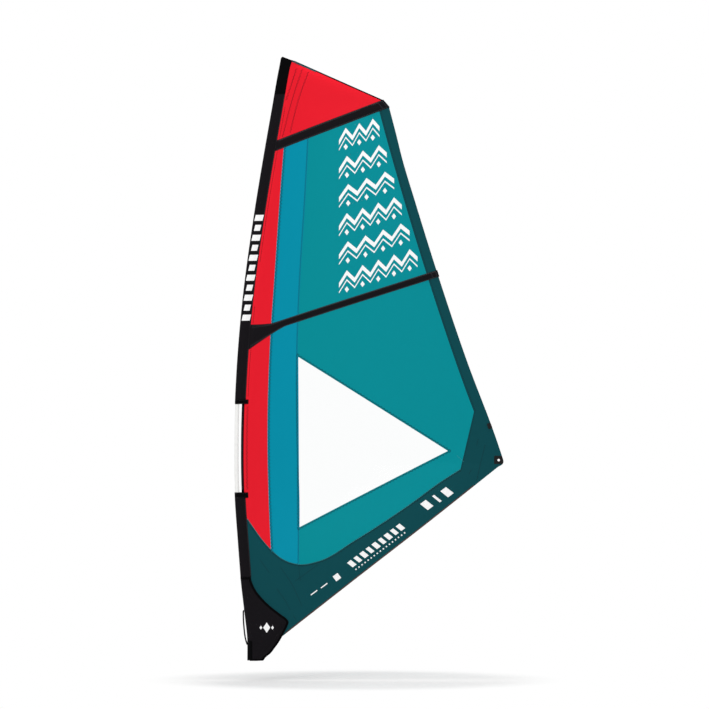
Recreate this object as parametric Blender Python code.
"""Windsurf rig: a cambered, panelled sail on a three-piece mast with its extension and tack block.

Metres. +X runs aft, +Y to the far side of the sail, +Z up. The origin is at the foot of the mast.
"""
import math

import bmesh
import bpy
import numpy
from mathutils import Matrix, Vector
from mathutils.geometry import delaunay_2d_cdt

# Clearances
GAP = 0.0003
RUNNING_GAP = 0.0004

# How far a cutter runs past a face, and the slope along moulded edges
CUT_PAST = 0.010
CHAMFER = 0.001

# Sail outline, as (x, z) from top to bottom
LUFF_FRONT = [(0.212, 4.465), (0.198, 4.400), (0.143, 4.091), (0.091, 3.795), (0.004, 3.262),
              (-0.075, 2.670), (-0.123, 2.077), (-0.138, 1.633), (-0.131, 1.189),
              (-0.110, 0.892), (-0.088, 0.596)]
LEECH = [(1.006, 4.120), (1.059, 3.914), (1.111, 3.706), (1.200, 3.410), (1.385, 2.818),
         (1.585, 2.225), (1.807, 1.633), (1.855, 1.490)]
HEAD_EDGE = [(0.263, 4.462), (0.989, 4.128)]
CLEW_CORNER = [(1.858, 1.468), (1.845, 1.450)]
FOOT_EDGE = [(1.818, 1.433), (1.325, 1.040), (0.755, 0.596), (0.226, 0.181)]
TACK_CORNER = [(0.174, 0.143), (0.119, 0.165), (0.074, 0.215), (0.045, 0.264), (-0.002, 0.268)]
FOOT_TAPE_END = [(0.232, 0.215), (0.262, 0.178)]
SLEEVE_WIDTH = 0.081
SLEEVE_FOOT_HEIGHT = 0.614

# Seams inside the sail
RED_BLUE_SEAM = [(0.245, 3.900), (0.207, 3.410), (0.167, 2.818), (0.137, 2.373), (0.117, 1.633),
                 (0.126, 1.189), (0.145, 0.760)]
BLUE_TEAL_SEAM = [(0.415, 3.950), (0.385, 3.410), (0.348, 2.818), (0.330, 2.373), (0.329, 1.633),
                  (0.341, 1.189), (0.337, 0.640)]
LEECH_SEAM = [(0.925, 4.150), (0.955, 4.032), (1.044, 3.706), (1.218, 3.114), (1.407, 2.521),
              (1.614, 1.929), (1.647, 1.843)]
CLEW_SEAM = [(1.647, 1.843), (1.546, 1.413)]
CLEW_TOP_SEAM = [(1.600, 1.843), (1.800, 1.843)]
CLEW_FOOT_SEAM = [(1.546, 1.413), (1.644, 1.292), (1.700, 1.223)]
FOOT_SEAM = [(-0.060, 1.129), (-0.015, 1.040), (0.070, 0.892), (0.137, 0.823), (0.237, 0.744),
             (0.352, 0.707), (0.496, 0.744), (0.763, 0.892), (1.196, 1.189), (1.392, 1.337), (1.546, 1.413)]
WINDOW = [(0.343, 2.262), (1.436, 1.558), (0.366, 1.002)]

# Cloth
CLOTH = 0.0010
SEAM_STEP = 0.10
CLOTH_STEP = 0.15
SLIVER = 2e-7
EDGE_TAPE_WIDTH = 0.008
EDGE_TAPE = 0.0022

# Belly of the sail
DRAFT_RATIO = 0.045
DRAFT_AFT_POWER = 1.8
DRAFT_FADE_FOOT = 0.60
DRAFT_FADE_TOP = 1.30
HEAD_TWIST = 0.055
TWIST_FOOT = 1.60

# Mast sleeve and boom cut-out
SLEEVE_CLOTH = 0.0012
SLEEVE_ROOM = 0.0025
SLEEVE_SEAM = 0.010
SLEEVE_STRAIGHT = 0.020
SLEEVE_TAPER = 0.012
NOSE_FACETS = 10
UPPER_HEM = (1.899, 1.932)
LOWER_HEM = (1.203, 1.244)
HEM_TAB = 0.020
HEM_CLOTH = 0.0020
BINDING_WIDTH = 0.019
BINDING_SETBACK = 0.009
BINDING = 0.0030
CAP_FOOT_HEIGHT = 4.202
CAP_WALL = 0.0022
CAP_CROWN_HEIGHT = 4.464
CAP_ROUNDING = 0.013

# Batten pockets: a point on the centre line, slope and width
UPPER_POCKET_AT = (0.537, 3.952)
UPPER_POCKET_SLOPE = 0.380
UPPER_POCKET_WIDTH = 0.072
LOWER_POCKET_AT = (0.681, 2.6425)
LOWER_POCKET_SLOPE = 0.3235
LOWER_POCKET_WIDTH = 0.052
UPPER_POCKET = {"through": UPPER_POCKET_AT, "slope": UPPER_POCKET_SLOPE, "width": UPPER_POCKET_WIDTH}
LOWER_POCKET = {"through": LOWER_POCKET_AT, "slope": LOWER_POCKET_SLOPE, "width": LOWER_POCKET_WIDTH}
GUSSET_TOP_FROM = 0.147
GUSSET_BOTTOM_FROM = 0.240
GUSSET_RISE = 0.043
GUSSET_DROP = 0.079
GUSSET_LENGTH = 0.160
POCKET_LUFF_GAP = 0.0008
POCKET_EDGE = 0.0012
POCKET_DEPTH = 0.0095
POCKET_END_DEPTH = 0.0180
POCKET_WALL = 0.0014
CHANNEL_WIDTH = 0.030
POCKET_STATIONS = (0.0, 0.05, 0.11, 0.20, 0.35, 0.50, 0.65, 0.80)
TENSIONER_LENGTH = 0.078

# Battens and their tensioners
BATTEN_WIDTH = 0.022
BATTEN_TIP = 0.0022
BATTEN_BUTT = 0.0048
BATTEN_SETBACK = 0.012
HOUSING_WIDTH = 0.026
HOUSING_DEPTH = 0.0130
HOUSING_WALL = 0.0022
HOUSING_END_WALL = 0.008
HOUSING_PROUD = 0.005
SLIDER_LENGTH = 0.014
SLIDER_TRAVEL = 0.012
SCREW_RADIUS = 0.0025
SCREW_HEAD_RADIUS = 0.0048
SCREW_HEAD = 0.0045
SCREW_EASE = 0.0006
SCREW_KEY = 0.0023
SCREW_KEY_DEPTH = 0.0027
HOUSING_ROOM = 0.012

# Mast, and the extension's tube that slides into it
TUBE_RADIUS = 0.0130
TUBE_FIT = 0.00035
MAST_WALL = 0.0029
MAST_RADIUS = TUBE_RADIUS + TUBE_FIT + MAST_WALL
MAST_TIP_RADIUS = 0.0070
MAST_STRAIGHT_TOP = 1.55
MAST_SETTLES = 1.250
MAST_TIP_WALL = 0.0016
MAST_FOOT_W = 0.166
MAST_JOINT_HEIGHTS = (1.600, 3.020)
MAST_TOP_HEIGHT = 4.446
FERRULE_REACH = 0.100
FERRULE_WALL = 0.0020
MAST_SIDES = 20
MAST_RING_STEP = 0.22
MAST_PROBE = 0.010
FOOT_LEAN = 0.0945
MAST_STRAIGHT_END = 0.455
PLUG_FLANGE = 0.0035
PLUG_DEPTH = 0.040
PLUG_REACH = 0.050
PLUG_FIT = 0.0005

# Mast extension, in its own upright frame
TUBE_WALL = 0.0020
TUBE_BOTTOM = 0.052
TUBE_TOP = 0.430
TUBE_HOLE_RADIUS = 0.0034
TUBE_HOLE_PITCH = 0.020
TUBE_HOLES = 9
TUBE_FIRST_HOLE = 0.092
COLLAR_WALL = 0.0060
COLLAR_RADIUS = TUBE_RADIUS + COLLAR_WALL
COLLAR_HEIGHT = 0.026
COLLAR_HOLE = 3
COLLAR_TOP = MAST_FOOT_W - GAP
PIN_RADIUS = 0.0028
PIN_KNOB_RADIUS = 0.0060
PIN_KNOB = 0.0040
PIN_REACH = 0.0006
BASE_WALL = 0.0050
BASE_RADIUS = TUBE_RADIUS + BASE_WALL
BASE_FLANGE_RADIUS = BASE_RADIUS + 0.0010
BASE_FLANGE = 0.006
BASE_TOP = 0.086
SOCKET_RADIUS = 0.0081
SOCKET_DEPTH = 0.044
SOCKET_WALL = 0.0012
BUTTON_HEIGHT = 0.030
BUTTON_RADIUS = 0.0060
BUTTON_PROUD = 0.0035
BUTTON_TRAVEL = 0.003
BUTTON_DISH = 0.0006
SHEAVE_RADIUS = 0.0110
SHEAVE_GROOVE = 0.0085
SHEAVE_WIDTH = 0.0064
SHEAVE_PITCH = 0.0088
SHEAVE_RIM = 0.0009
SHEAVE_ROOM = 0.0015
AXLE_RADIUS = 0.0030
AXLE_EASE = 0.0005
AXLE_INSET = 0.0002
CHEEK = 0.0032
CASE_WALL = 0.0025
CASE_FLOOR = 0.006
CASE_EASE = 0.003
SLOT_WIDTH = 0.0072
BASE_SHEAVE_U = 0.0335
BASE_SHEAVE_W = 0.056

# Tack block
BLOCK_U = 0.047
BLOCK_AXLE_W = 0.196
BLOCK_LENGTH = 0.030
BLOCK_SKIRT = 0.010
BLOCK_CROWN = 0.018
BLOCK_EYE = 0.020
BLOCK_BOTTOM = BLOCK_AXLE_W - BLOCK_SKIRT
BLOCK_SHOULDER = BLOCK_AXLE_W + BLOCK_CROWN
BLOCK_TOP = BLOCK_SHOULDER + BLOCK_EYE
BLOCK_NECK = 0.0072
BLOCK_SLOT = (BLOCK_SHOULDER + 0.0045, BLOCK_SHOULDER + 0.0115)
WEBBING = 0.0014
WEBBING_WIDTH = 0.022
WEBBING_SEWN = 0.067
WEBBING_GATHER = BLOCK_TOP + 0.034
WEBBING_TOP = WEBBING_GATHER + WEBBING_SEWN

# Tack fairing: heights with the aft edge and the half width there
FAIRING_AFT = [(0.078, 0.0), (0.092, 0.021), (0.132, 0.055), (0.161, 0.093), (0.187, 0.128), (0.208, 0.163),
               (0.230, 0.205), (0.250, 0.246), (0.261, 0.287), (0.252, 0.300), (0.208, 0.334),
               (0.125, 0.399), (0.092, 0.430), (0.055, 0.470), (0.024, 0.510), (0.001, 0.552),
               (-0.014, 0.595), (-0.016, 0.6135)]
FAIRING_FRONT = [(-0.038, 0.0), (-0.039, 0.152), (-0.061, 0.359), (-0.088, 0.596), (-0.0895, 0.6135)]
FAIRING_HALF_WIDTH = [(0.0, 0.042), (0.20, 0.042), (0.32, 0.033), (0.45, 0.028), (0.6135, 0.0240)]
FAIRING_PAD = 0.005
FAIRING_EDGE = 0.0011
FAIRING_NOSE = 0.034
FAIRING_TAPER = 0.060
FLAP_SEAM = [(-0.019, 0.0), (-0.0690, 0.6135)]
STRAP_PATH = [(-0.0638, 0.372), (-0.0676, 0.362), (-0.0682, 0.340), (-0.0675, 0.300), (-0.0652, 0.263),
              (-0.0605, 0.215), (-0.0553, 0.174), (-0.0475, 0.140), (-0.0422, 0.124), (-0.0402, 0.112)]
STRAP = 0.0016
STRAP_WIDTH = 0.020

# Clew
CLEW_PLATE_FRONT_X = 1.790
CLEW_PLATE_HEIGHTS = (1.455, 1.514)
CLEW_PLATE_THICKNESS = 0.0060
CLEW_RING_AT = (1.823, 1.483)
CLEW_RING_HOLE = 0.0090
CLEW_RING_NECK = 0.0125
CLEW_RING_FLANGE = 0.0165
CLEW_RING_LIP = 0.0012
LEECH_TAB_AT = (1.7555, 1.7365)
LEECH_TAB_SIZE = (0.030, 0.042)
LEECH_TAB = 0.0060
LEECH_TAB_SEAT = 0.0006
LEECH_TAB_LEAN = 0.36

# Materials: colour, roughness, metallic
FINISHES = {
    "red_cloth": ((0.83, 0.013, 0.026, 1.0), 0.45, 0.0),
    "blue_cloth": ((0.004, 0.28, 0.41, 1.0), 0.45, 0.0),
    "teal_cloth": ((0.004, 0.27, 0.32, 1.0), 0.45, 0.0),
    "dark_cloth": ((0.004, 0.065, 0.078, 1.0), 0.50, 0.0),
    "black_cloth": ((0.010, 0.009, 0.010, 1.0), 0.75, 0.0),
    "clear_film": ((0.90, 0.94, 0.95, 1.0), 0.10, 0.0),
    "white_gelcoat": ((0.86, 0.86, 0.85, 1.0), 0.30, 0.0),
    "aluminium": ((0.60, 0.61, 0.63, 1.0), 0.32, 1.0),
    "steel": ((0.62, 0.62, 0.64, 1.0), 0.25, 1.0),
    "black_plastic": ((0.018, 0.018, 0.020, 1.0), 0.45, 0.0),
    "red_plastic": ((0.62, 0.020, 0.022, 1.0), 0.40, 0.0),
}


# Curves in the sail's plane

def smooth_curve(points, step=SEAM_STEP):
    """Even points along a smooth curve through the given ones."""
    knots = numpy.array(points, dtype=float)
    if len(knots) == 2:
        count = max(2, math.ceil(numpy.linalg.norm(knots[1] - knots[0]) / step) + 1)
        return knots[0] + numpy.linspace(0, 1, count)[:, None] * (knots[1] - knots[0])
    spans = numpy.linalg.norm(numpy.diff(knots, axis=0), axis=1)
    at = numpy.concatenate([[0.0], numpy.cumsum(spans)])
    slopes = numpy.gradient(knots, at, axis=0)
    result = []
    for k, span in enumerate(spans):
        count = max(1, round(span / step))
        for t in numpy.arange(count) / count:
            h00 = 2 * t ** 3 - 3 * t ** 2 + 1
            h10 = t ** 3 - 2 * t ** 2 + t
            h01 = 3 * t ** 2 - 2 * t ** 3
            h11 = t ** 3 - t ** 2
            leaving = h00 * knots[k] + h10 * span * slopes[k]
            arriving = h01 * knots[k + 1] + h11 * span * slopes[k + 1]
            result.append(leaving + arriving)
    result.append(knots[-1])
    return numpy.array(result)


def crossing(first, second):
    """Where two open polylines cross, as a position along each and the point."""
    for i in range(len(first) - 1):
        a, b = first[i], first[i + 1]
        for j in range(len(second) - 1):
            c, d = second[j], second[j + 1]
            along, across = b - a, d - c
            turn = along[0] * across[1] - along[1] * across[0]
            if abs(turn) < 1e-12:
                continue
            to_c = c - a
            s = (to_c[0] * across[1] - to_c[1] * across[0]) / turn
            t = (to_c[0] * along[1] - to_c[1] * along[0]) / turn
            if -1e-6 <= s <= 1 + 1e-6 and -1e-6 <= t <= 1 + 1e-6:
                return i + s, j + t, a + s * along
    raise ValueError("two seams of one panel do not meet")


def between(curve, start, end):
    """The points of a polyline strictly between two positions along it, in that direction."""
    low, high = min(start, end), max(start, end)
    inner = [curve[k] for k in range(len(curve)) if low + 1e-3 < k < high - 1e-3]
    return inner if start < end else inner[::-1]


def outline(*seams):
    """The closed loop that runs along each seam from its meeting with the one before to the next."""
    count = len(seams)
    meets = [crossing(seams[k], seams[(k + 1) % count]) for k in range(count)]
    loop = []
    for k in range(count):
        start, end = meets[k - 1][1], meets[k][0]
        loop.append(meets[k - 1][2])
        loop.extend(between(seams[k], start, end))
    return clean_loop(loop)


def clean_loop(loop):
    """A counter-clockwise loop without points that nearly coincide."""
    points = [loop[0]]
    for point in loop[1:]:
        if numpy.linalg.norm(point - points[-1]) > 0.002:
            points.append(point)
    if numpy.linalg.norm(points[0] - points[-1]) < 0.002:
        points.pop()
    points = numpy.array(points)
    following = numpy.roll(points, -1, axis=0)
    area = numpy.sum(points[:, 0] * following[:, 1] - following[:, 0] * points[:, 1])
    return points if area > 0 else points[::-1]


def inset(loop, distance):
    """A counter-clockwise loop moved inwards; a negative distance moves it outwards."""
    before = loop - numpy.roll(loop, 1, axis=0)
    after = numpy.roll(loop, -1, axis=0) - loop
    moved = []
    for k in range(len(loop)):
        a = before[k] / numpy.linalg.norm(before[k])
        b = after[k] / numpy.linalg.norm(after[k])
        normal_a = numpy.array([-a[1], a[0]])
        normal_b = numpy.array([-b[1], b[0]])
        reach = max(0.25, 1 + normal_a @ normal_b)
        moved.append(loop[k] + distance * (normal_a + normal_b) / reach)
    return numpy.array(moved)


def shifted(curve, distance):
    """An open polyline moved sideways, to the left of its direction."""
    direction = numpy.gradient(curve, axis=0)
    direction /= numpy.linalg.norm(direction, axis=1)[:, None]
    return curve + distance * numpy.stack([-direction[:, 1], direction[:, 0]], axis=1)


def at_height(curve, z):
    """The x of a curve that falls from top to bottom, at a height or at several."""
    return numpy.interp(z, curve[::-1, 1], curve[::-1, 0])


def inside(point, loop):
    """Whether a point lies within a loop."""
    x, z = point
    hit = False
    for k in range(len(loop)):
        (x1, z1), (x2, z2) = loop[k - 1], loop[k]
        if (z1 > z) != (z2 > z) and x < (x2 - x1) * (z - z1) / (z2 - z1) + x1:
            hit = not hit
    return hit


LUFF = smooth_curve(LUFF_FRONT)
REAR_EDGE = numpy.concatenate([smooth_curve(HEAD_EDGE), smooth_curve(LEECH), numpy.array(CLEW_CORNER),
                               smooth_curve(FOOT_EDGE)])


def luff_x(z):
    """Front edge of the sleeve."""
    return at_height(LUFF, z)


def belly(x, z):
    """How far the sail stands from the flat at a point, towards +Y."""
    start = luff_x(z) + SLEEVE_WIDTH + HEM_TAB
    end = at_height(REAR_EDGE, z)
    chord = numpy.maximum(end - start, 1e-3)
    t = numpy.clip((x - start) / chord, 0.0, 1.0)
    peak_at = 1 / (1 + DRAFT_AFT_POWER)
    peak = peak_at * (1 - peak_at) ** DRAFT_AFT_POWER
    foot = numpy.clip((z - DRAFT_FADE_FOOT) / (DRAFT_FADE_TOP - DRAFT_FADE_FOOT), 0.0, 1.0)
    foot = foot * foot * (3 - 2 * foot)
    twist = HEAD_TWIST * numpy.clip((z - TWIST_FOOT) / (LEECH[0][1] - TWIST_FOOT), 0.0, 1.0) ** 1.5
    shape = t * (1 - t) ** DRAFT_AFT_POWER / peak
    return foot * DRAFT_RATIO * chord * shape + twist * t ** 1.6


# Seams that follow from the sizes

def levels(top, bottom, count):
    """Heights from top to bottom."""
    return numpy.linspace(top, bottom, count)


CAP_LEVELS = numpy.array([CAP_CROWN_HEIGHT, *levels(CAP_CROWN_HEIGHT - CAP_ROUNDING, CAP_FOOT_HEIGHT, 5)])
UPPER_SLEEVE_LEVELS = levels(CAP_FOOT_HEIGHT, UPPER_HEM[1], 14)
CUTOUT_LEVELS = levels(UPPER_HEM[0], LOWER_HEM[1], 6)
LOWER_SLEEVE_LEVELS = levels(LOWER_HEM[0], SLEEVE_FOOT_HEIGHT, 6)


def beside_luff(heights, offset):
    """Points a set distance aft of the sleeve's front edge."""
    return numpy.stack([luff_x(heights) + offset, heights], axis=1)


def body_luff():
    """Front edge of the sail's body: behind the sleeve, stepping round the hems and into the cut-out."""
    runs = [beside_luff(numpy.array([CAP_CROWN_HEIGHT + 0.02]), SLEEVE_WIDTH),
            beside_luff(CAP_LEVELS[:-1], SLEEVE_WIDTH),
            beside_luff(UPPER_SLEEVE_LEVELS, SLEEVE_WIDTH),
            beside_luff(numpy.array(UPPER_HEM[::-1]), SLEEVE_WIDTH + HEM_TAB),
            beside_luff(CUTOUT_LEVELS, SLEEVE_WIDTH - BINDING_SETBACK),
            beside_luff(numpy.array(LOWER_HEM[::-1]), SLEEVE_WIDTH + HEM_TAB),
            beside_luff(LOWER_SLEEVE_LEVELS, SLEEVE_WIDTH),
            numpy.array(TACK_CORNER[-1:])]
    return numpy.concatenate(runs)


def pocket_edge(pocket, side, x):
    """Height of a batten pocket's upper (+1) or lower (-1) edge at x, with the gusset's flare."""
    x0, z0 = pocket["through"]
    slope = pocket["slope"]
    edge = z0 + slope * (x - x0) + side * pocket["width"] / 2 * math.hypot(1, slope)
    if pocket is LOWER_POCKET:
        start, flare = (GUSSET_TOP_FROM, GUSSET_RISE) if side > 0 else (GUSSET_BOTTOM_FROM, GUSSET_DROP)
        length = start - GUSSET_TOP_FROM + GUSSET_LENGTH
        edge = edge + side * flare * numpy.clip((start - x) / length, 0, 2) ** 1.2
    return edge


def pocket_seam(pocket, side):
    """The stations of one edge of a pocket, from the sleeve to the leech."""
    x = numpy.arange(-0.10, 1.60, 0.01)
    edge = numpy.stack([x, pocket_edge(pocket, side, x)], axis=1)
    start = crossing(BODY_LUFF, edge)[2]
    end = crossing(REAR_EDGE, edge)[2]
    length = end[0] - start[0]
    shares = list(POCKET_STATIONS) + [1 - TENSIONER_LENGTH / length / math.hypot(1, pocket["slope"]), 1.0]
    stations = start[0] + numpy.array(shares) * length
    return numpy.stack([stations, pocket_edge(pocket, side, stations)], axis=1)


def overlong(seam, reach=0.03):
    """A seam carried a little past both of its ends."""
    first = seam[0] + (seam[0] - seam[1]) / numpy.linalg.norm(seam[0] - seam[1]) * reach
    last = seam[-1] + (seam[-1] - seam[-2]) / numpy.linalg.norm(seam[-1] - seam[-2]) * reach
    return numpy.concatenate([[first], seam, [last]])


BODY_LUFF = body_luff()


# Meshes

def finish(name):
    """The material of that name, made once."""
    material = bpy.data.materials.get(name)
    if material is None:
        colour, roughness, metallic = FINISHES[name]
        material = bpy.data.materials.new(name)
        material.use_nodes = True
        shader = material.node_tree.nodes["Principled BSDF"]
        shader.inputs["Base Color"].default_value = colour
        shader.inputs["Roughness"].default_value = roughness
        shader.inputs["Metallic"].default_value = metallic
        material.diffuse_color = colour
    return material


def add_piece(name, finish_name, points, faces, parent=None, matrix=None, smooth_angle=35):
    """One object from its points and faces, facing out and placed under its parent."""
    mesh = bpy.data.meshes.new(name)
    mesh.from_pydata([tuple(map(float, p)) for p in points], [], [tuple(map(int, f)) for f in faces])
    shell = bmesh.new()
    shell.from_mesh(mesh)
    bmesh.ops.recalc_face_normals(shell, faces=shell.faces)
    shell.to_mesh(mesh)
    shell.free()
    mesh.shade_smooth()
    mesh.set_sharp_from_angle(angle=math.radians(smooth_angle))
    piece = bpy.data.objects.new(name, mesh)
    bpy.context.scene.collection.objects.link(piece)
    if parent is not None:
        piece.parent = parent
    if matrix is not None:
        piece.matrix_local = matrix
    if finish_name is not None:
        mesh.materials.append(finish(finish_name))
    return piece


def add_cutter(name, target, shape, matrix=None, operation="DIFFERENCE"):
    """A hidden solid that is cut from its target, or joined to it."""
    points, faces = shape
    cutter = add_piece(name, None, points, faces, target.parent, matrix)
    cutter.hide_render = True
    cutter.display_type = "WIRE"
    modifier = target.modifiers.new(name, "BOOLEAN")
    modifier.operation = operation
    modifier.solver = "EXACT"
    modifier.object = cutter


def several(shapes):
    """Separate solids as one list of points and faces."""
    points, faces = [], []
    for more_points, more_faces in shapes:
        start = len(points)
        points.extend(more_points)
        faces.extend(tuple(start + k for k in face) for face in more_faces)
    return points, faces


def moved(shape, matrix):
    """A shape carried to another place."""
    points, faces = shape
    return [matrix @ Vector(p) for p in points], faces


def ring_faces(first, second, count):
    """Quads between two rings of points that start at the given numbers."""
    faces = []
    for k in range(count):
        n = (k + 1) % count
        faces.append((first + k, first + n, second + n, second + k))
    return faces


def lofted(rings):
    """A solid through rings of equal counts, closed at both ends."""
    count = len(rings[0])
    points = [p for ring in rings for p in ring]
    faces = []
    for k in range(len(rings) - 1):
        faces.extend(ring_faces(k * count, (k + 1) * count, count))
    faces.append(tuple(range(count)))
    faces.append(tuple(range((len(rings) - 1) * count, len(rings) * count))[::-1])
    return points, faces


def lofted_tube(outer, inner, closed_end=False):
    """A hollow solid between outer and inner rings; with closed_end the last rings are covered."""
    count = len(outer[0])
    points = [p for ring in list(outer) + list(inner) for p in ring]
    faces = []
    inner_start = len(outer) * count
    for k in range(len(outer) - 1):
        faces.extend(ring_faces(k * count, (k + 1) * count, count))
    for k in range(len(inner) - 1):
        start = inner_start + k * count
        faces.extend(ring_faces(start + count, start, count))
    faces.extend(ring_faces(inner_start, 0, count))
    last_outer = (len(outer) - 1) * count
    last_inner = inner_start + (len(inner) - 1) * count
    if closed_end:
        faces.append(tuple(range(last_outer, last_outer + count))[::-1])
        faces.append(tuple(range(last_inner, last_inner + count)))
    else:
        faces.extend(ring_faces(last_outer, last_inner, count))
    return points, faces


def circle(radius, height, sides, turn=0.0):
    """A level ring of points."""
    angles = [2 * math.pi * k / sides + turn for k in range(sides)]
    return [(radius * math.cos(a), radius * math.sin(a), height) for a in angles]


def turned(profile, sides):
    """A solid turned about Z from (radius, height) pairs, closed flat at both ends."""
    return lofted([circle(radius, height, sides) for radius, height in profile])


def turned_ring(outer_profile, inner_profile, sides):
    """A hollow turned solid; both profiles run from the bottom to the top."""
    return lofted_tube([circle(r, h, sides) for r, h in outer_profile],
                       [circle(r, h, sides) for r, h in inner_profile])


def block(x, y, z):
    """A box from its three ranges."""
    corners = [(x[0], y[0]), (x[1], y[0]), (x[1], y[1]), (x[0], y[1])]
    return lofted([[(a, b, z[0]) for a, b in corners], [(a, b, z[1]) for a, b in corners]])


def eased_block(x, y, z, ease):
    """A box whose four upright edges are cut off and whose top edge is sloped."""
    loop = [(x[0] + ease, y[0]), (x[1] - ease, y[0]), (x[1], y[0] + ease), (x[1], y[1] - ease),
            (x[1] - ease, y[1]), (x[0] + ease, y[1]), (x[0], y[1] - ease), (x[0], y[0] + ease)]
    top = []
    for a, b in loop:
        inner_a = min(max(a, x[0] + ease), x[1] - ease)
        inner_b = min(max(b, y[0] + ease), y[1] - ease)
        top.append(((a + inner_a) / 2, (b + inner_b) / 2, z[1]))
    return lofted([[(a, b, z[0]) for a, b in loop], [(a, b, z[1] - ease) for a, b in loop], top])


# Cloth: a thin solid that follows the belly of the sail

def cloth_shape(loop, thickness, holes=(), offset=0.0, level=None):
    """A panel as a thin solid, from its outline in the sail's plane; with a level it is flat there."""
    borders = [numpy.array(loop)] + [numpy.array(hole) for hole in holes]
    points, edges = [], []
    for border in borders:
        start = len(points)
        points.extend(Vector(map(float, p)) for p in border)
        edges.extend((start + k, start + (k + 1) % len(border)) for k in range(len(border)))
    points.extend(inner_points(borders))
    flat, _, triangles, *_ = delaunay_2d_cdt(points, edges, [], 0, 1e-6)
    kept = []
    for triangle in triangles:
        middle = sum((flat[k] for k in triangle), Vector((0, 0))) / 3
        if abs(turn_of(triangle, flat)) < SLIVER:
            continue
        if inside(middle, borders[0]) and not any(inside(middle, hole) for hole in borders[1:]):
            kept.append(triangle if turn_of(triangle, flat) > 0 else triangle[::-1])
    used = sorted({k for triangle in kept for k in triangle})
    number = {k: n for n, k in enumerate(used)}
    rise = [(float(belly(flat[k].x, flat[k].y)) if level is None else level) + offset for k in used]
    near = [(flat[k].x, y - thickness / 2, flat[k].y) for k, y in zip(used, rise)]
    far = [(flat[k].x, y + thickness / 2, flat[k].y) for k, y in zip(used, rise)]
    faces, sides = [], set()
    for triangle in kept:
        a, b, c = (number[k] for k in triangle)
        faces.append((a, b, c))
        faces.append((c + len(used), b + len(used), a + len(used)))
        sides.update([(a, b), (b, c), (c, a)])
    for a, b in sorted(sides):
        if (b, a) not in sides:
            faces.append((b, a, a + len(used), b + len(used)))
    return near + far, faces


def inner_points(borders):
    """A lattice of points inside the first border and outside the others, clear of all of them."""
    low, high = borders[0].min(axis=0), borders[0].max(axis=0)
    row_step = CLOTH_STEP * math.sqrt(3) / 2
    found = []
    for row, z in enumerate(numpy.arange(low[1], high[1], row_step)):
        for x in numpy.arange(low[0] + (row % 2) * CLOTH_STEP / 2, high[0], CLOTH_STEP):
            point = numpy.array([x, z])
            if not inside(point, borders[0]) or any(inside(point, hole) for hole in borders[1:]):
                continue
            if min(distance_to(point, border) for border in borders) > 0.4 * CLOTH_STEP:
                found.append(Vector((float(x), float(z))))
    return found


def distance_to(point, border):
    """Distance from a point to a closed loop."""
    start, end = border, numpy.roll(border, -1, axis=0)
    along = end - start
    t = numpy.clip(((point - start) * along).sum(axis=1) / (along * along).sum(axis=1), 0, 1)
    return numpy.linalg.norm(start + t[:, None] * along - point, axis=1).min()


def turn_of(triangle, flat):
    """Twice a triangle's area, positive when it turns from X towards Z."""
    a, b, c = (flat[k] for k in triangle)
    return (b.x - a.x) * (c.y - a.y) - (b.y - a.y) * (c.x - a.x)


def add_cloth(name, finish_name, loop, thickness=CLOTH, **fit):
    """A panel of the sail, cut to half a seam gap inside its outline."""
    shape = cloth_shape(inset(loop, GAP / 2), thickness, **fit)
    return add_piece(name, finish_name, *shape)


# Sail panels

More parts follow.
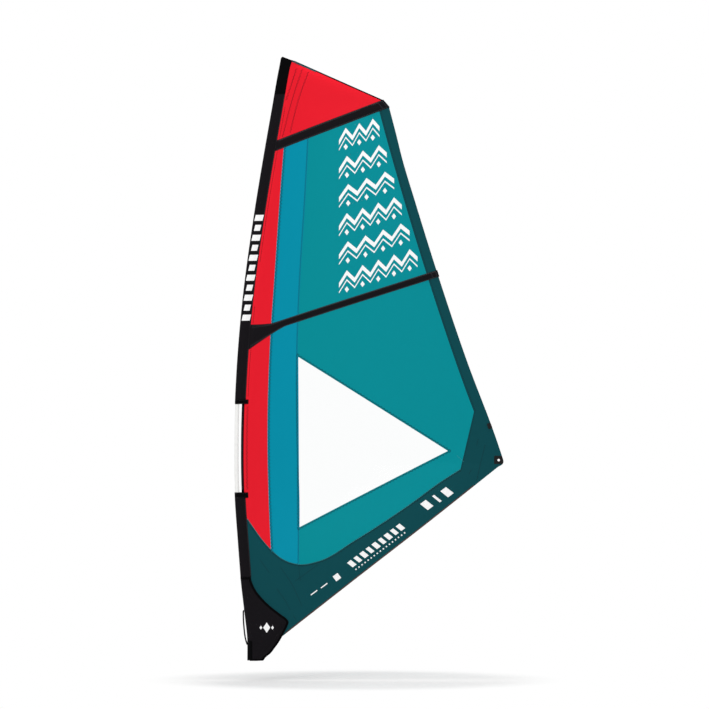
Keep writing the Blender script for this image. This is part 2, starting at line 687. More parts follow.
def make_panels():
    """Every panel of the sail, its edge tapes and the clew pieces."""
    head = smooth_curve(HEAD_EDGE)
    foot = smooth_curve(FOOT_EDGE)
    foot_inner = shifted(foot, -EDGE_TAPE_WIDTH)
    red_blue = smooth_curve(RED_BLUE_SEAM)
    blue_teal = smooth_curve(BLUE_TEAL_SEAM)
    leech_seam = smooth_curve(LEECH_SEAM)
    clew_seam = numpy.array(CLEW_SEAM)
    clew_top = numpy.array(CLEW_TOP_SEAM)
    clew_foot = numpy.array(CLEW_FOOT_SEAM)
    foot_seam = smooth_curve(FOOT_SEAM)
    tape_end = numpy.array(FOOT_TAPE_END)
    upper_top = overlong(pocket_seam(UPPER_POCKET, 1))
    upper_bottom = overlong(pocket_seam(UPPER_POCKET, -1))
    lower_top = overlong(pocket_seam(LOWER_POCKET, 1))
    lower_bottom = overlong(pocket_seam(LOWER_POCKET, -1))
    head_inner = shifted(head, -EDGE_TAPE_WIDTH)

    add_cloth("head_panel", "red_cloth", outline(BODY_LUFF, overlong(head_inner), upper_top))
    head_tape = outline(BODY_LUFF, head, upper_top, overlong(head_inner))
    add_cloth("head_edge_tape", "black_cloth", head_tape, EDGE_TAPE)
    add_cloth("upper_luff_panel", "red_cloth", outline(BODY_LUFF, upper_bottom, red_blue, lower_top))
    add_cloth("upper_middle_panel", "blue_cloth", outline(red_blue, upper_bottom, blue_teal, lower_top))
    add_cloth("upper_main_panel", "teal_cloth", outline(blue_teal, upper_bottom, leech_seam, lower_top))
    add_cloth("upper_leech_panel", "dark_cloth", outline(leech_seam, upper_bottom, REAR_EDGE, lower_top))
    add_cloth("lower_luff_panel", "red_cloth", outline(BODY_LUFF, lower_bottom, red_blue, foot_seam))
    add_cloth("lower_middle_panel", "blue_cloth", outline(red_blue, lower_bottom, blue_teal, foot_seam))
    window = window_loop()
    lower_main = outline(blue_teal, lower_bottom, leech_seam, clew_seam, foot_seam)
    add_cloth("lower_main_panel", "teal_cloth", lower_main, holes=[inset(window, -GAP / 2)])
    add_cloth("window_panel", "clear_film", window)
    add_cloth("lower_leech_panel", "dark_cloth", outline(leech_seam, lower_bottom, REAR_EDGE, clew_top))

    plate = clew_plate_loop()
    clew_patch = outline(clew_seam, clew_top, REAR_EDGE, clew_foot)
    add_cloth("clew_patch", "dark_cloth", clew_patch, holes=[inset(plate, -GAP / 2)])
    add_clew_plate(plate)

    edge_below_tape = numpy.concatenate([numpy.array([crossing(foot, tape_end)[2]]), foot[-1:],
                                         numpy.array(TACK_CORNER)])
    tape_stop, _, tape_corner = crossing(foot_inner, tape_end)
    above_tape = foot_inner[:math.floor(tape_stop) + 1]
    foot_boundary = numpy.concatenate([above_tape, [tape_corner], edge_below_tape])
    add_cloth("foot_panel", "dark_cloth", outline(foot_seam, clew_foot, foot_boundary, BODY_LUFF))
    add_cloth("foot_edge_tape", "black_cloth", outline(foot_inner, clew_foot, foot, tape_end), EDGE_TAPE)


def window_loop():
    """The triangular window, counter-clockwise, with points along its sides."""
    loop = []
    for k in range(len(WINDOW)):
        loop.extend(smooth_curve([WINDOW[k - 1], WINDOW[k]])[:-1])
    return clean_loop(loop)


def clew_plate_loop():
    """The plate in the clew, cut to the corner of the sail."""
    low, high = CLEW_PLATE_HEIGHTS
    ahead = CLEW_PLATE_FRONT_X - CUT_PAST
    astern = LEECH[-1][0] + CUT_PAST
    front = numpy.array([(CLEW_PLATE_FRONT_X, low - CUT_PAST), (CLEW_PLATE_FRONT_X, high + CUT_PAST)])
    top = numpy.array([(ahead, high), (astern, high)])
    bottom = numpy.array([(ahead, low), (astern, low)])
    return outline(front, top, REAR_EDGE, bottom)


def ring_loop(centre, radius, sides):
    """A circle in the sail's plane."""
    x, z = centre
    return numpy.array([(x + px, z + pz) for px, pz, _ in circle(radius, 0, sides)])


def add_clew_plate(plate):
    """The moulded clew plate, the ring through it and the leech line cleat above it."""
    hole = ring_loop(CLEW_RING_AT, CLEW_RING_NECK + GAP, 24)
    level = float(belly(*CLEW_RING_AT))
    add_cloth("clew_plate", "black_plastic", plate, CLEW_PLATE_THICKNESS, holes=[hole], level=level)
    inner_face = CLEW_PLATE_THICKNESS / 2 + GAP
    outer_face = inner_face + CLEW_RING_LIP
    mouth = CLEW_RING_HOLE + CLEW_RING_LIP
    outside = [(mouth, -outer_face), (CLEW_RING_FLANGE, -outer_face), (CLEW_RING_FLANGE, -inner_face),
               (CLEW_RING_NECK, -inner_face), (CLEW_RING_NECK, inner_face), (CLEW_RING_FLANGE, inner_face),
               (CLEW_RING_FLANGE, outer_face), (mouth, outer_face)]
    bore = [(CLEW_RING_HOLE, inner_face), (CLEW_RING_HOLE, -inner_face)]
    shape = ring_from_loop(outside + bore, 24)
    x, z = CLEW_RING_AT
    place = Matrix.Translation((x, level, z)) @ Matrix.Rotation(math.pi / 2, 4, "X")
    add_piece("clew_ring", "steel", *shape, matrix=place)

    width, height = LEECH_TAB_SIZE
    x, z = LEECH_TAB_AT
    across = numpy.array([math.cos(LEECH_TAB_LEAN), math.sin(LEECH_TAB_LEAN)]) * width / 2
    along = numpy.array([-math.sin(LEECH_TAB_LEAN), math.cos(LEECH_TAB_LEAN)]) * height / 2
    corners = [(-1, -0.7), (-0.7, -1), (0.7, -1), (1, -0.7), (1, 0.7), (0.7, 1), (-0.7, 1), (-1, 0.7)]
    loop = numpy.array([numpy.array((x, z)) + a * across + b * along for a, b in corners])
    stand_off = CLOTH / 2 + LEECH_TAB / 2 + LEECH_TAB_SEAT
    add_cloth("leech_tab", "black_plastic", loop, LEECH_TAB, offset=-stand_off)


def ring_from_loop(loop, sides):
    """A solid turned about Z from a closed loop of (radius, height) that stays off the axis."""
    points, faces = [], []
    for k in range(sides):
        angle = 2 * math.pi * k / sides
        points.extend((r * math.cos(angle), r * math.sin(angle), h) for r, h in loop)
    for k in range(sides):
        faces.extend(ring_faces(k * len(loop), (k + 1) % sides * len(loop), len(loop)))
    return points, faces


# Mast sleeve

def teardrop(front, back, radius, edge, height):
    """A level section round the mast: half a circle in front, then two sides that meet near the back."""
    centre = front + radius
    angles = [math.pi * (0.5 + k / NOSE_FACETS) for k in range(NOSE_FACETS + 1)]
    loop = [(centre + radius * math.cos(a), radius * math.sin(a), height) for a in angles]
    shoulder = min(centre + SLEEVE_STRAIGHT, back - SLEEVE_TAPER)
    loop.extend([(shoulder, -radius, height), (back, -edge, height), (back, edge, height),
                 (shoulder, radius, height)])
    return loop


def sleeve_rings(heights, width, wall):
    """Outer and inner rings of a sleeve between heights."""
    outer, inner = [], []
    for z in heights:
        front = float(luff_x(z))
        back = front + width
        radius = mast_radius(z) + SLEEVE_ROOM + SLEEVE_CLOTH
        outer.append(teardrop(front, back - GAP / 2, radius, wall, z))
        inner.append(teardrop(front + wall, back - SLEEVE_SEAM, radius - wall, wall * 0.4, z))
    return outer, inner


def trimmed(heights):
    """Heights with half a seam gap taken off at both ends."""
    result = numpy.array(heights, dtype=float)
    result[0] -= GAP / 2
    result[-1] += GAP / 2
    return result


def make_sleeves():
    """The mast sleeve above and below the boom cut-out, its hems, the binding and the cap at the head."""
    sleeves = (("upper_mast_sleeve", UPPER_SLEEVE_LEVELS), ("lower_mast_sleeve", LOWER_SLEEVE_LEVELS))
    for name, heights in sleeves:
        rings = sleeve_rings(trimmed(heights), SLEEVE_WIDTH, SLEEVE_CLOTH)
        add_piece(name, "black_cloth", *lofted_tube(*rings))
    for name, ends in (("upper_sleeve_hem", UPPER_HEM[::-1]), ("lower_sleeve_hem", LOWER_HEM[::-1])):
        rings = sleeve_rings(trimmed(ends), SLEEVE_WIDTH + HEM_TAB, HEM_CLOTH)
        add_piece(name, "black_cloth", *lofted_tube(*rings))

    front = beside_luff(CUTOUT_LEVELS, SLEEVE_WIDTH - BINDING_SETBACK - BINDING_WIDTH)
    back = beside_luff(CUTOUT_LEVELS, SLEEVE_WIDTH - BINDING_SETBACK)
    add_cloth("cutout_binding", "black_cloth", clean_loop(list(front) + list(back[::-1])), BINDING)

    head = smooth_curve(HEAD_EDGE)
    outer, inner = [], []
    for z in trimmed(CAP_LEVELS)[::-1]:
        front = float(luff_x(z)) + max(0.0, z - CAP_LEVELS[1])
        edge = float(at_height(head, min(z, head[0][1] - GAP)))
        back = min(front + SLEEVE_WIDTH, edge) - GAP
        radius = mast_radius(z) + SLEEVE_ROOM
        under_crown = min(z, CAP_CROWN_HEIGHT - CAP_WALL)
        outer.append(teardrop(front, back, radius + CAP_WALL, CAP_WALL * 0.7, z))
        inner.append(teardrop(front + CAP_WALL, back - SLEEVE_SEAM, radius, CAP_WALL * 0.3, under_crown))
    add_piece("head_cap", "black_cloth", *lofted_tube(outer, inner, closed_end=True))


# Batten pockets, battens and tensioners

def lens(share):
    """Fullness of a pocket across its width, from its middle to its edge."""
    return 1 - share ** 4


def pocket_stations(pocket):
    """Upper edge, lower edge, batten line point and depth at each station of a pocket."""
    upper, lower = pocket_seam(pocket, 1), pocket_seam(pocket, -1)
    x0, z0 = pocket["through"]
    line = numpy.array([[x0 - 2, z0 - 2 * pocket["slope"]], [x0 + 2, z0 + 2 * pocket["slope"]]])
    stations = []
    for k in range(len(upper)):
        reach = (upper[k] - lower[k]) * 0.2
        middle = crossing(numpy.array([lower[k] - reach, upper[k] + reach]), line)[2]
        depth = POCKET_END_DEPTH if k >= len(upper) - 2 else POCKET_DEPTH
        stations.append((upper[k], lower[k], middle, depth))
    return stations


def make_pocket(name, pocket):
    """A batten pocket: two full skins with an open channel for the batten between them."""
    shares = (-1.0, -0.8, -0.4, 0.0, 0.4, 0.8, 1.0)
    slope = pocket["slope"]
    square = numpy.array([-slope, 1.0]) / math.hypot(1, slope)
    outer, inner = [], []
    stations = pocket_stations(pocket)
    for k, (upper, lower, middle, depth) in enumerate(stations):
        across = (upper - lower) / numpy.linalg.norm(upper - lower)
        half = numpy.linalg.norm(upper - lower) / 2 - GAP / 2
        centre = (upper + lower) / 2
        if k == 0:
            shift = numpy.array([POCKET_LUFF_GAP, POCKET_LUFF_GAP * slope])
            centre, middle = centre + shift, middle + shift
        if k == len(stations) - 1:
            shift = numpy.array([1.0, slope]) * GAP
            centre, middle = centre - shift, middle - shift
        near, far, near_inner, far_inner = [], [], [], []
        for share in shares:
            x, z = centre + across * half * share
            rise = float(belly(x, z))
            skin = POCKET_EDGE / 2 + (depth / 2 - POCKET_EDGE / 2) * lens(abs(share))
            near.append((x, rise - skin, z))
            far.append((x, rise + skin, z))
            x, z = middle + across * share * CHANNEL_WIDTH / 2 / (across @ square)
            away = min(abs((numpy.array((x, z)) - centre) @ across) / half, 1.0)
            rise = float(belly(*middle))
            skin = POCKET_EDGE / 2 + (depth / 2 - POCKET_EDGE / 2) * lens(away)
            skin = max(skin - POCKET_WALL, POCKET_EDGE / 2)
            near_inner.append((x, rise - skin, z))
            far_inner.append((x, rise + skin, z))
        outer.append(near + far[::-1])
        inner.append(near_inner + far_inner[::-1])
    return add_piece(name, "black_cloth", *lofted_tube(outer, inner))


def leech_frame(pocket, name):
    """An empty at the pocket's leech end: its X along the batten, its Y through the sail."""
    stations = pocket_stations(pocket)
    start, end = stations[-2][2], stations[-1][2]
    start = Vector((start[0], float(belly(*start)), start[1]))
    end = Vector((end[0], float(belly(*end)), end[1]))
    along = (end - start).normalized()
    up = (Vector((0, 0, 1)) - along * along.z).normalized()
    through = up.cross(along)
    frame = bpy.data.objects.new(name, None)
    frame.matrix_world = Matrix.Translation(end) @ Matrix((along, through, up)).transposed().to_4x4()
    bpy.context.scene.collection.objects.link(frame)
    return frame


def make_batten(prefix, pocket):
    """A tapered batten lying in its pocket, and the tensioner that pushes on its leech end."""
    line = [numpy.array((m[0], float(belly(*m)), m[1])) for _, _, m, _ in pocket_stations(pocket)]
    leech_along = (line[-1] - line[-2]) / numpy.linalg.norm(line[-1] - line[-2])
    luff_along = (line[1] - line[0]) / numpy.linalg.norm(line[1] - line[0])
    butt = line[-1] - leech_along * (TENSIONER_LENGTH - HOUSING_ROOM + GAP)
    centres = [line[0] + luff_along * BATTEN_SETBACK] + line[1:-1] + [butt]
    slope = pocket["slope"]
    square = numpy.array([-slope, 0.0, 1.0]) / math.hypot(1, slope)
    through = numpy.array([0.0, 1.0, 0.0])
    total = numpy.linalg.norm(centres[-1] - centres[0])
    corners = ((-1, -0.35), (-0.5, -1), (0.5, -1), (1, -0.35), (1, 0.35), (0.5, 1), (-0.5, 1), (-1, 0.35))
    rings = []
    for centre in centres:
        depth = BATTEN_TIP + (BATTEN_BUTT - BATTEN_TIP) * numpy.linalg.norm(centre - centres[0]) / total
        rings.append([centre + square * a * BATTEN_WIDTH / 2 + through * b * depth / 2 for a, b in corners])
    add_piece(prefix + "_batten", "white_gelcoat", *lofted(rings))
    make_tensioner(prefix, leech_frame(pocket, prefix + "_leech_frame"))


def make_tensioner(prefix, frame):
    """Housing, sliding block and screw at the leech end of a batten, along the frame's X."""
    name = prefix + "_tensioner"
    mouth = -(TENSIONER_LENGTH - HOUSING_ROOM)
    end_wall = HOUSING_PROUD - HOUSING_END_WALL
    head_seat = HOUSING_PROUD - SCREW_HEAD
    along = Matrix.Rotation(math.pi / 2, 4, "Y")
    half_width, half_depth = HOUSING_WIDTH / 2, HOUSING_DEPTH / 2
    room_width, room_depth = half_width - HOUSING_WALL, half_depth - HOUSING_WALL

    body = block((mouth, HOUSING_PROUD), (-half_depth, half_depth), (-half_width, half_width))
    housing = add_piece(name + "_housing", "black_plastic", *body, frame)
    room = block((mouth - CUT_PAST, end_wall), (-room_depth, room_depth), (-room_width, room_width))
    add_cutter(name + "_room", housing, room)
    bore = SCREW_RADIUS + RUNNING_GAP
    through = turned([(bore, mouth - CUT_PAST), (bore, HOUSING_PROUD - GAP)], 12)
    add_cutter(name + "_bore", housing, moved(through, along))
    seat_radius = SCREW_HEAD_RADIUS + RUNNING_GAP
    seat = turned([(seat_radius, head_seat - GAP), (seat_radius, HOUSING_PROUD + CUT_PAST)], 16)
    add_cutter(name + "_seat", housing, moved(seat, along))

    start = mouth + GAP
    body = block((start, start + SLIDER_LENGTH), (-room_depth + GAP, room_depth - GAP),
                 (-room_width + GAP, room_width - GAP))
    slider = add_piece(name + "_slider", "black_plastic", *body, frame)
    add_cutter(name + "_nut", slider, moved(through, along))

    tip = start + SLIDER_LENGTH * 0.6
    profile = [(SCREW_RADIUS - SCREW_EASE, tip), (SCREW_RADIUS, tip + SCREW_EASE), (SCREW_RADIUS, head_seat),
               (SCREW_HEAD_RADIUS, head_seat), (SCREW_HEAD_RADIUS, HOUSING_PROUD - SCREW_EASE),
               (SCREW_HEAD_RADIUS - SCREW_EASE, HOUSING_PROUD)]
    screw = add_piece(name + "_screw", "steel", *moved(turned(profile, 12), along), frame)
    key = turned([(SCREW_KEY, HOUSING_PROUD - SCREW_KEY_DEPTH), (SCREW_KEY, HOUSING_PROUD + CUT_PAST)], 6)
    add_cutter(name + "_key", screw, moved(key, along))


# Mast

def mast_radius(z):
    """Outer radius of the mast at a height."""
    share = numpy.clip((z - MAST_STRAIGHT_TOP) / (MAST_TOP_HEIGHT - MAST_STRAIGHT_TOP), 0, 1)
    return float(MAST_RADIUS + (MAST_TIP_RADIUS - MAST_RADIUS) * share)


def mast_wall(z):
    """Wall of the mast at a height."""
    return float(MAST_WALL + (MAST_TIP_WALL - MAST_WALL) * numpy.clip(z / MAST_TOP_HEIGHT, 0, 1))


def mast_line():
    """The mast's axis: straight where the extension fills it, then inside the sleeve's nose."""
    foot_direction = numpy.array([-FOOT_LEAN, 1.0]) / math.hypot(FOOT_LEAN, 1)
    knots = [foot_direction * (TUBE_TOP + 0.02), numpy.array([-0.0840, 0.900])]
    in_sleeve = [z for _, z in LUFF_FRONT[::-1] if MAST_SETTLES < z < MAST_TOP_HEIGHT]
    for z in [MAST_SETTLES] + in_sleeve + [MAST_TOP_HEIGHT]:
        room = mast_radius(z) + SLEEVE_ROOM + SLEEVE_CLOTH
        knots.append(numpy.array([float(luff_x(z)) + room, z]))
    line = smooth_curve(knots, 0.05)
    beyond = line[-1] + (line[-1] - line[-2]) / numpy.linalg.norm(line[-1] - line[-2]) * 0.05
    return numpy.concatenate([[[0.0, 0.0]], line, [beyond]])


def mast_ring(z, radius):
    """A ring round the mast, square to its axis."""
    centre = numpy.array([mast_x(z), z])
    ahead = numpy.array([mast_x(z + MAST_PROBE), z + MAST_PROBE])
    behind = numpy.array([mast_x(z - MAST_PROBE), z - MAST_PROBE])
    along = (ahead - behind) / numpy.linalg.norm(ahead - behind)
    across = numpy.array([along[1], -along[0]])
    ring = []
    for px, py, _ in circle(radius, 0, MAST_SIDES):
        x, height = centre + across * px
        ring.append((x, py, height))
    return ring


def mast_x(z):
    """The mast axis at a height."""
    return float(numpy.interp(z, MAST_LINE[:, 1], MAST_LINE[:, 0]))


def mast_heights(bottom, top, held_bottom, held_top):
    """Ring heights of one section, with rings where a ferrule ends."""
    marks = [bottom] + ([bottom + FERRULE_REACH] if held_bottom else [])
    marks += [top - (FERRULE_REACH if held_top else PLUG_REACH), top]
    if not held_bottom:
        marks.insert(1, MAST_STRAIGHT_END)
    heights = []
    for low, high in zip(marks, marks[1:]):
        count = 1 if high - low <= MAST_STRAIGHT_END else math.ceil((high - low) / MAST_RING_STEP)
        heights.extend(low + (high - low) * k / count for k in range(count))
    return heights + [top]


def make_mast():
    """Three hollow sections, the ferrules that join them, and the plug in the tip."""
    lean = math.hypot(FOOT_LEAN, 1)
    ends = [MAST_FOOT_W / lean, *MAST_JOINT_HEIGHTS, MAST_TOP_HEIGHT]
    names = ("mast_base_section", "mast_middle_section", "mast_tip_section")
    for k, name in enumerate(names):
        low = ends[k] + (GAP / 2 if k else 0)
        high = ends[k + 1] - (GAP / 2 if k < 2 else 0)
        heights = mast_heights(low, high, k > 0, k < 2)
        outer = [mast_ring(z, mast_radius(z)) for z in heights]
        inner = [mast_ring(z, mast_radius(z) - mast_wall(z)) for z in heights]
        add_piece(name, "white_gelcoat", *lofted_tube(outer, inner))
    for name, z in zip(("lower_mast_ferrule", "upper_mast_ferrule"), MAST_JOINT_HEIGHTS):
        heights = [z - FERRULE_REACH, z, z + FERRULE_REACH]
        radii = [mast_radius(h) - mast_wall(h) - GAP for h in heights]
        outer = [mast_ring(h, r) for h, r in zip(heights, radii)]
        inner = [mast_ring(h, r - FERRULE_WALL) for h, r in zip(heights, radii)]
        add_piece(name, "black_plastic", *lofted_tube(outer, inner))

    shank = mast_radius(MAST_TOP_HEIGHT) - mast_wall(MAST_TOP_HEIGHT) - PLUG_FIT
    profile = [(shank - CHAMFER, -PLUG_DEPTH), (shank, -PLUG_DEPTH + 3 * CHAMFER), (shank, GAP),
               (MAST_TIP_RADIUS, GAP), (MAST_TIP_RADIUS, PLUG_FLANGE - CHAMFER),
               (MAST_TIP_RADIUS - 1.5 * CHAMFER, PLUG_FLANGE)]
    top = Vector((mast_x(MAST_TOP_HEIGHT), 0, MAST_TOP_HEIGHT))
    below = Vector((mast_x(MAST_TOP_HEIGHT - PLUG_REACH), 0, MAST_TOP_HEIGHT - PLUG_REACH))
    lean_aft = math.atan2(top.x - below.x, top.z - below.z)
    place = Matrix.Translation(top) @ Matrix.Rotation(lean_aft, 4, "Y")
    add_piece("mast_tip_plug", "black_plastic", *turned(profile, MAST_SIDES), matrix=place)


# Mast extension

def foot_frame():
    """An empty at the foot of the mast that leans with it; its Z runs up the extension."""
    frame = bpy.data.objects.new("foot_frame", None)
    frame.matrix_world = Matrix.Rotation(-math.atan(FOOT_LEAN), 4, "Y")
    bpy.context.scene.collection.objects.link(frame)
    return frame


def towards_near_side(height, u=0.0):
    """A frame on the mast's axis whose Z points to the near side of the sail."""
    return Matrix.Translation((u, 0, height)) @ Matrix.Rotation(math.pi / 2, 4, "X")


def make_extension(foot):
    """Tube, collar with its pin, and the base with its socket, button and sheaves."""
    inner = TUBE_RADIUS - TUBE_WALL
    shape = turned_ring([(TUBE_RADIUS, TUBE_BOTTOM), (TUBE_RADIUS, TUBE_TOP)],
                        [(inner, TUBE_BOTTOM), (inner, TUBE_TOP)], MAST_SIDES)
    tube = add_piece("extension_tube", "aluminium", *shape, foot)
    past = TUBE_RADIUS + CUT_PAST
    across = turned([(TUBE_HOLE_RADIUS, -past), (TUBE_HOLE_RADIUS, past)], 10)
    heights = [TUBE_FIRST_HOLE + k * TUBE_HOLE_PITCH for k in range(TUBE_HOLES)]
    holes = [moved(across, towards_near_side(height)) for height in heights]
    add_cutter("extension_tube_holes", tube, several(holes))
    make_collar(foot, heights[COLLAR_HOLE])
    make_base(foot)


def make_collar(foot, pin_height):
    """The collar that the mast stands on, and the pin that locks it to a hole of the tube."""
    bottom = COLLAR_TOP - COLLAR_HEIGHT
    bore = TUBE_RADIUS + RUNNING_GAP
    levels_up = [bottom, bottom + 2 * CHAMFER, COLLAR_TOP - CHAMFER, COLLAR_TOP]
    radii = [COLLAR_RADIUS - CHAMFER, COLLAR_RADIUS, COLLAR_RADIUS, COLLAR_RADIUS - CHAMFER]
    shape = turned_ring(list(zip(radii, levels_up)), [(bore, z) for z in levels_up], MAST_SIDES)
    collar = add_piece("extension_collar", "black_plastic", *shape, foot)
    place = towards_near_side(pin_height)
    hole_radius = PIN_RADIUS + RUNNING_GAP
    hole = turned([(hole_radius, bore / 2), (hole_radius, COLLAR_RADIUS + CUT_PAST)], 12)
    add_cutter("collar_pin_hole", collar, hole, place)

    seat = COLLAR_RADIUS + RUNNING_GAP
    tip = TUBE_RADIUS - TUBE_WALL - PIN_REACH
    neck = PIN_KNOB_RADIUS - CHAMFER
    profile = [(PIN_RADIUS - PIN_REACH, tip), (PIN_RADIUS, tip + CHAMFER), (PIN_RADIUS, seat),
               (PIN_KNOB_RADIUS, seat), (PIN_KNOB_RADIUS, seat + PIN_KNOB * 0.35),
               (neck, seat + PIN_KNOB * 0.55), (PIN_KNOB_RADIUS, seat + PIN_KNOB * 0.8),
               (neck, seat + PIN_KNOB)]
    add_piece("collar_pin", "red_plastic", *turned(profile, 16), foot, place)


def make_base(foot):
    """The moulded base: socket below, tube bore above, and a sheave case behind."""
    profile = [(BASE_FLANGE_RADIUS, 0), (BASE_FLANGE_RADIUS, BASE_FLANGE - CHAMFER),
               (BASE_FLANGE_RADIUS - CHAMFER, BASE_FLANGE), (BASE_RADIUS, BASE_FLANGE + CHAMFER),
               (BASE_RADIUS, BASE_TOP - 2 * CHAMFER), (BASE_RADIUS - 2 * CHAMFER, BASE_TOP)]
    base = add_piece("extension_base", "black_plastic", *turned(profile, 24), foot)
    half = SHEAVE_PITCH / 2 + SLOT_WIDTH / 2 + CHEEK
    reach = SHEAVE_RADIUS + SHEAVE_ROOM
    case = eased_block((0.0, BASE_SHEAVE_U + reach + CASE_WALL), (-half, half),
                       (BASE_SHEAVE_W - reach - CASE_FLOOR, BASE_SHEAVE_W + reach + CASE_WALL), CASE_EASE)
    add_cutter("base_sheave_case", base, case, operation="UNION")
    bore = TUBE_RADIUS + RUNNING_GAP
    tube_bore = turned([(bore, TUBE_BOTTOM - GAP), (bore, BASE_TOP + CUT_PAST)], MAST_SIDES)
    add_cutter("base_tube_bore", base, tube_bore)
    mouth = SOCKET_RADIUS + CHAMFER
    socket = turned([(mouth, -CUT_PAST), (mouth, 0.0), (SOCKET_RADIUS, 1.4 * CHAMFER),
                     (SOCKET_RADIUS, SOCKET_DEPTH)], 20)
    add_cutter("base_pin_socket", base, socket)
    rows = (-SHEAVE_PITCH / 2, SHEAVE_PITCH / 2)
    add_slots("base_sheave_slots", base, rows, (BASE_SHEAVE_U - reach, BASE_SHEAVE_U + reach + CUT_PAST),
              (BASE_SHEAVE_W - reach, BASE_TOP + CUT_PAST))
    place = towards_near_side(BASE_SHEAVE_W, BASE_SHEAVE_U)
    add_cutter("base_axle_hole", base, axle_hole(half), place)
    make_button(base, foot)
    make_axle("base_sheave_axle", half, foot, place)
    for k, v in enumerate(rows):
        make_sheave(f"base_sheave_{k + 1}", v, foot, place)


def add_slots(name, target, rows, x, z):
    """A slot for a sheave in each row."""
    half = SLOT_WIDTH / 2
    add_cutter(name, target, several([block(x, (v - half, v + half), z) for v in rows]))


def make_button(base, foot):
    """The button on the near side that lets the pin out of the socket, in its bore."""
    place = towards_near_side(BUTTON_HEIGHT)
    bottom = SOCKET_RADIUS + SOCKET_WALL
    bore = BUTTON_RADIUS + RUNNING_GAP
    add_cutter("base_button_bore", base, turned([(bore, bottom), (bore, BASE_RADIUS + CUT_PAST)], 16), place)
    face = BASE_RADIUS + BUTTON_PROUD
    profile = [(BUTTON_RADIUS, bottom + BUTTON_TRAVEL + GAP), (BUTTON_RADIUS, face - CHAMFER),
               (BUTTON_RADIUS - CHAMFER, face), (BUTTON_RADIUS / 2, face - BUTTON_DISH)]
    add_piece("release_button", "red_plastic", *turned(profile, 16), foot, place)


def axle_hole(half):
    """The cutter for an axle's hole through both cheeks."""
    radius = AXLE_RADIUS + GAP
    return turned([(radius, -half - CUT_PAST), (radius, half + CUT_PAST)], 12)


def make_axle(name, half, foot, place):
    """A plain axle that ends just inside the outer faces of its cheeks."""
    end = half - AXLE_INSET
    profile = [(AXLE_RADIUS - AXLE_EASE, -end), (AXLE_RADIUS, -end + AXLE_EASE),
               (AXLE_RADIUS, end - AXLE_EASE), (AXLE_RADIUS - AXLE_EASE, end)]
    add_piece(name, "steel", *turned(profile, 12), foot, place)


def make_sheave(name, v, foot, axle_place):
    """A grooved sheave with a bore for its axle."""
    half = SHEAVE_WIDTH / 2
    shoulder = half - SHEAVE_RIM
    bore = AXLE_RADIUS + RUNNING_GAP
    loop = [(SHEAVE_RADIUS, -half), (SHEAVE_RADIUS, -shoulder), (SHEAVE_GROOVE, -shoulder / 4),
            (SHEAVE_GROOVE, shoulder / 4), (SHEAVE_RADIUS, shoulder), (SHEAVE_RADIUS, half),
            (bore, half), (bore, -half)]
    place = axle_place @ Matrix.Translation((0, 0, -v))
    add_piece(name, "aluminium", *ring_from_loop(loop, 20), foot, place)


# Tack block

def make_tack_block(foot):
    """The block at the tack: a slotted frame, three sheaves on one axle, and the webbing to the sail."""
    half = SHEAVE_PITCH + SLOT_WIDTH / 2 + CHEEK
    length = BLOCK_LENGTH / 2
    body = eased_block((BLOCK_U - length, BLOCK_U + length), (-half, half),
                       (BLOCK_BOTTOM, BLOCK_SHOULDER), CASE_EASE)
    frame = add_piece("tack_block_frame", "black_plastic", *body, foot)
    neck_length = length - CHAMFER
    neck = block((BLOCK_U - neck_length, BLOCK_U + neck_length), (-BLOCK_NECK, BLOCK_NECK),
                 (BLOCK_SHOULDER - CASE_EASE - CHAMFER, BLOCK_TOP))
    add_cutter("tack_block_neck", frame, neck, operation="UNION")
    rows = (-SHEAVE_PITCH, 0.0, SHEAVE_PITCH)
    slot_top = BLOCK_AXLE_W + SHEAVE_RADIUS + SHEAVE_ROOM
    add_slots("tack_block_slots", frame, rows, (BLOCK_U - length - CUT_PAST, BLOCK_U + length + CUT_PAST),
              (BLOCK_BOTTOM - CUT_PAST, slot_top))
    webbing_x = WEBBING_WIDTH / 2 + GAP
    webbing_slot = block((BLOCK_U - webbing_x, BLOCK_U + webbing_x),
                         (-BLOCK_NECK - CUT_PAST, BLOCK_NECK + CUT_PAST), BLOCK_SLOT)
    add_cutter("tack_block_webbing_slot", frame, webbing_slot)
    place = towards_near_side(BLOCK_AXLE_W, BLOCK_U)
    add_cutter("tack_block_axle_hole", frame, axle_hole(half), place)
    make_axle("tack_block_axle", half, foot, place)
    for k, v in enumerate(rows):
        make_sheave(f"tack_sheave_{k + 1}", v, foot, place)

    beside = BLOCK_NECK + GAP + WEBBING / 2
    under = BLOCK_SLOT[1] - GAP - WEBBING / 2
    sewn = CLOTH / 2 + GAP + WEBBING / 2
    side = [(sewn, WEBBING_TOP), (sewn, WEBBING_GATHER), (beside, BLOCK_TOP + 2 * CHAMFER), (beside, under)]
    loop = strip_loop([(-v, w) for v, w in side] + side[::-1], WEBBING)
    ends = (BLOCK_U - WEBBING_WIDTH / 2, BLOCK_U + WEBBING_WIDTH / 2)
    add_piece("tack_webbing", "black_cloth", *lofted([[(x, a, b) for a, b in loop] for x in ends]), foot)


def strip_loop(path, thickness):
    """The outline of a flat strap seen on its edge, along a path."""
    line = numpy.array(path)
    steps = numpy.diff(line, axis=0)
    steps /= numpy.linalg.norm(steps, axis=1)[:, None]
    back = numpy.concatenate([steps[:1], steps])
    ahead = numpy.concatenate([steps, steps[-1:]])
    both = back + ahead
    normals = numpy.stack([-both[:, 1], both[:, 0]], axis=1)
    normals /= numpy.maximum(1 + (back * ahead).sum(axis=1), 0.4)[:, None]
    half = thickness / 2
    return list(line + normals * half) + list((line - normals * half)[::-1])


# Tack fairing

def fairing_value(table, z):
    """A value of one of the fairing's tables at a height."""
    return float(numpy.interp(z, [row[1] for row in table], [row[0] for row in table]))


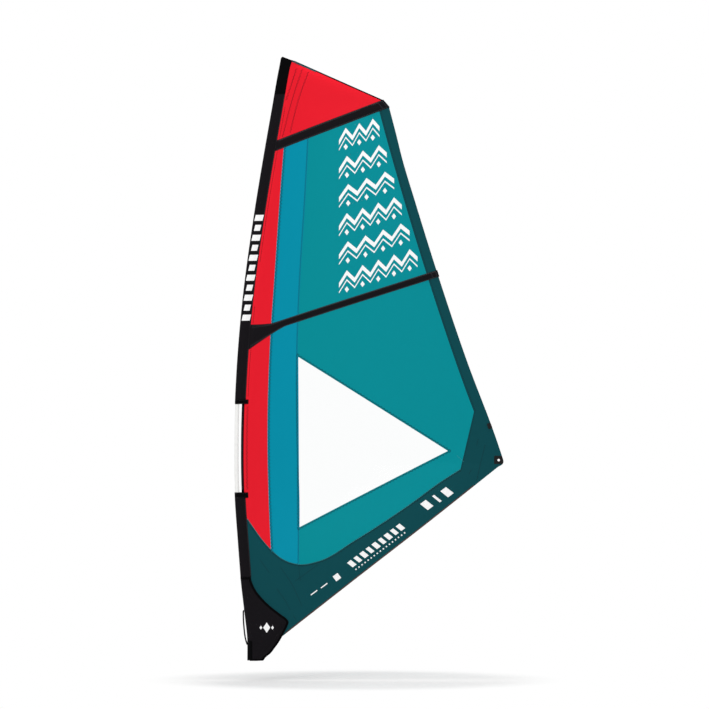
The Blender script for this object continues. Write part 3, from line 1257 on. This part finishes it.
def fairing_half(d, chord, z, pad):
    """Half width of the fairing at a distance behind its nose; pad is taken off for the inside."""
    heights, widths = zip(*FAIRING_HALF_WIDTH)
    full = float(numpy.interp(z, heights, widths)) - pad
    ahead = (d - pad) / (FAIRING_NOSE - pad)
    if ahead < 1:
        return full * math.sqrt(max(0.0, 1 - (1 - ahead) ** 2))
    edge = FAIRING_EDGE + FAIRING_PAD - pad
    taper = min(FAIRING_TAPER, chord - FAIRING_NOSE)
    astern = min((chord - d) / taper, 1.0)
    return edge + (full - edge) * (0.5 - 0.5 * math.cos(math.pi * astern))


def fairing_section(z, walk):
    """A level section of the fairing: along its outside by (side, distance aft), back inside."""
    front = fairing_value(FAIRING_FRONT, z)
    chord = fairing_value(FAIRING_AFT, z) - front
    outer, inner = [], []
    for side, d in walk(fairing_value(FLAP_SEAM, z) - front, chord):
        outer.append((front + d, side * fairing_half(d, chord, z, 0.0), z))
        d = FAIRING_PAD + d * (1 - FAIRING_PAD / chord)
        inner.append((front + d, side * fairing_half(d, chord, z, FAIRING_PAD), z))
    return outer + inner[::-1]


def behind_nose(chord):
    """Distances from the plateau's front to the aft edge."""
    taper = min(FAIRING_TAPER, chord - FAIRING_NOSE)
    return [chord - taper * share for share in (0.85, 0.60, 0.35, 0.15, 0.0)]


def fixed_walk(seam, chord):
    """Round the far side and the nose to the flap's seam on the near side."""
    far = behind_nose(chord)[::-1] + [FAIRING_NOSE * share for share in (0.95, 0.60, 0.35, 0.15, 0.04)]
    near = [seam * 0.06, seam * 0.25, seam * 0.60, seam - GAP / 2]
    return [(1, d) for d in far] + [(1, 0.0)] + [(-1, d) for d in near]


def flap_walk(seam, chord):
    """From the seam on the near side back to the aft edge."""
    start = seam + GAP / 2
    ahead = [start, start + (FAIRING_NOSE - start) * 0.5, FAIRING_NOSE * 0.98]
    return [(-1, d) for d in ahead + behind_nose(chord)]


def flap_hinge():
    """A point on the flap's hinge line and its direction, downwards along the seam's outside."""
    ends = []
    for x, z in FLAP_SEAM:
        front = fairing_value(FAIRING_FRONT, z)
        chord = fairing_value(FAIRING_AFT, z) - front
        ends.append(Vector((x, -fairing_half(x - front, chord, z, 0.0), z)))
    return ends[0], (ends[0] - ends[1]).normalized()


def make_fairing():
    """The padded fairing round the mast foot, its opening flap and the webbing strap on its nose."""
    heights = [row[1] for row in FAIRING_AFT]
    add_piece("tack_fairing", "black_cloth", *lofted([fairing_section(z, fixed_walk) for z in heights]))
    origin, direction = flap_hinge()
    hinge = bpy.data.objects.new("tack_flap_hinge", None)
    hinge.location = origin
    hinge.rotation_mode = "QUATERNION"
    hinge.rotation_quaternion = direction.to_track_quat("Z", "Y")
    bpy.context.scene.collection.objects.link(hinge)
    to_hinge = (Matrix.Translation(origin) @ hinge.rotation_quaternion.to_matrix().to_4x4()).inverted()
    flap = moved(lofted([fairing_section(z, flap_walk) for z in heights]), to_hinge)
    add_piece("tack_flap", "black_cloth", *flap, hinge)

    half = STRAP_WIDTH / 2
    loop = strip_loop(STRAP_PATH, STRAP)
    sides = [[(a, y, b) for a, b in loop] for y in (-half, half)]
    add_piece("tack_pull_strap", "black_cloth", *lofted(sides))


def clear_scene():
    """Take away what the file opened with."""
    for item in list(bpy.data.objects):
        bpy.data.objects.remove(item, do_unlink=True)


MAST_LINE = mast_line()


def main():
    clear_scene()
    make_panels()
    make_sleeves()
    make_pocket("upper_batten_pocket", UPPER_POCKET)
    make_pocket("lower_batten_pocket", LOWER_POCKET)
    make_batten("upper", UPPER_POCKET)
    make_batten("lower", LOWER_POCKET)
    make_mast()
    foot = foot_frame()
    make_extension(foot)
    make_tack_block(foot)
    make_fairing()


main()
